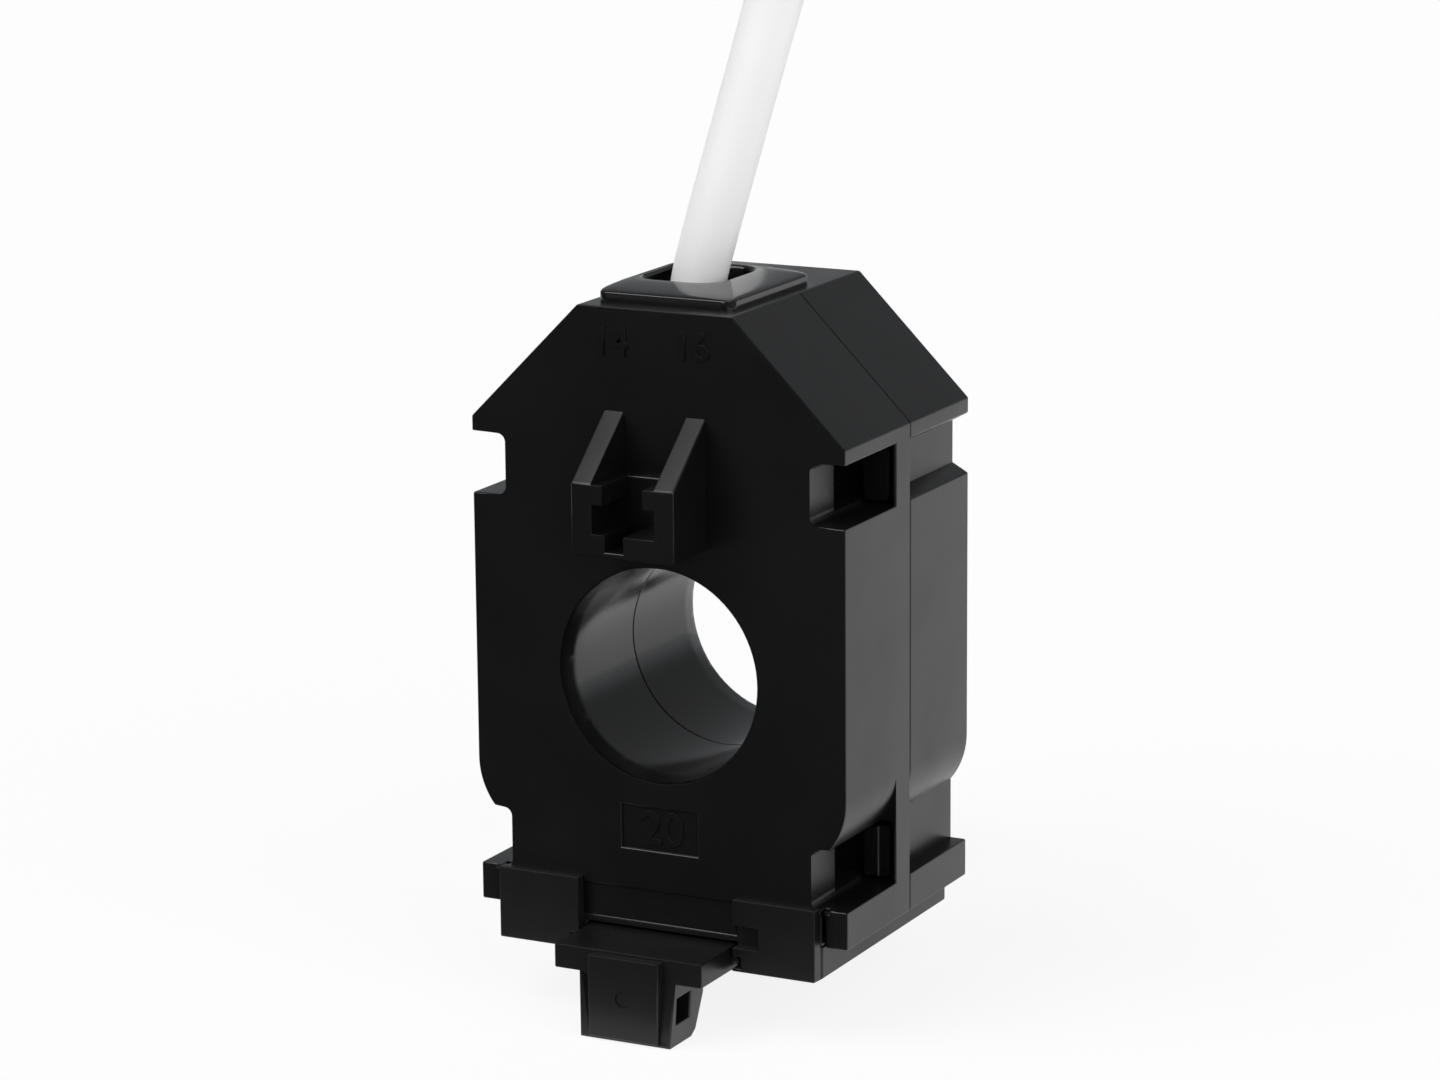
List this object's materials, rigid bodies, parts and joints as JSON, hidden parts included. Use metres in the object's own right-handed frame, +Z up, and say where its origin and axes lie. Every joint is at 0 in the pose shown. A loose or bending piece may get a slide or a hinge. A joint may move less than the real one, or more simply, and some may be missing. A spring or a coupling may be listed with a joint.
{
  "type": "current transformer",
  "caption": "Window-type current transformer with a black two-half case, a rail clip with a sliding latch and a white flying lead.",
  "frame": {"origin": "centre of the window, half way through the case", "axes": "-Y out of the front face along the window, +Z up towards the roof and its lead, +X to the right seen from the front"},
  "size_m": [0.0663, 0.1026, 0.136],
  "materials": {
    "case_black": "satin moulded",
    "collar_black": "satin moulded",
    "clip_black": "satin moulded",
    "spring_steel": "bright wire",
    "core_alloy": "wound strip, matt",
    "cup_plastic": "moulded",
    "winding_copper": "enamelled copper",
    "tape": "smooth film",
    "wire_red": "insulated wire",
    "wire_black": "insulated wire",
    "sleeve_grey": "shrunk sleeve",
    "wire_brown": "insulated wire",
    "wire_blue": "insulated wire",
    "lead_white": "smooth sheath",
    "tie_natural": "smooth",
    "tie_black": "smooth",
    "ferrule_tin": "tinned"
  },
  "bodies": {
    "housing": {"front_case": "case_black", "rear_case": "case_black", "cable_collar": "collar_black", "rail_clip": "clip_black", "latch_spring": "spring_steel", "core": "core_alloy", "core_cup": "cup_plastic", "core_cup_lid": "cup_plastic", "secondary_winding": "winding_copper", "winding_tape": "tape", "lead_wire_1": "wire_red", "lead_wire_2": "wire_black", "splice_sleeve_1": "sleeve_grey", "splice_sleeve_2": "sleeve_grey", "cable_core_1": "wire_brown", "cable_core_2": "wire_blue", "cable_tail": "lead_white", "strain_relief_tie": "tie_natural", "cable": "lead_white", "cable_coil": "lead_white", "coil_tie": "tie_black", "end_core_1": "wire_brown", "end_core_2": "wire_blue", "ferrule_1": "ferrule_tin", "ferrule_2": "ferrule_tin"},
    "latch": {"rail_latch": "clip_black"}
  },
  "joints": [
    {"name": "latch_slide", "type": "slide", "parent": "housing", "child": "latch", "axis": [0, -1, 0], "range_m": [0, 0.003], "stiffness_N_per_m": 500, "springref_m": -0.002, "deforming": ["latch_spring"]}
  ]
}
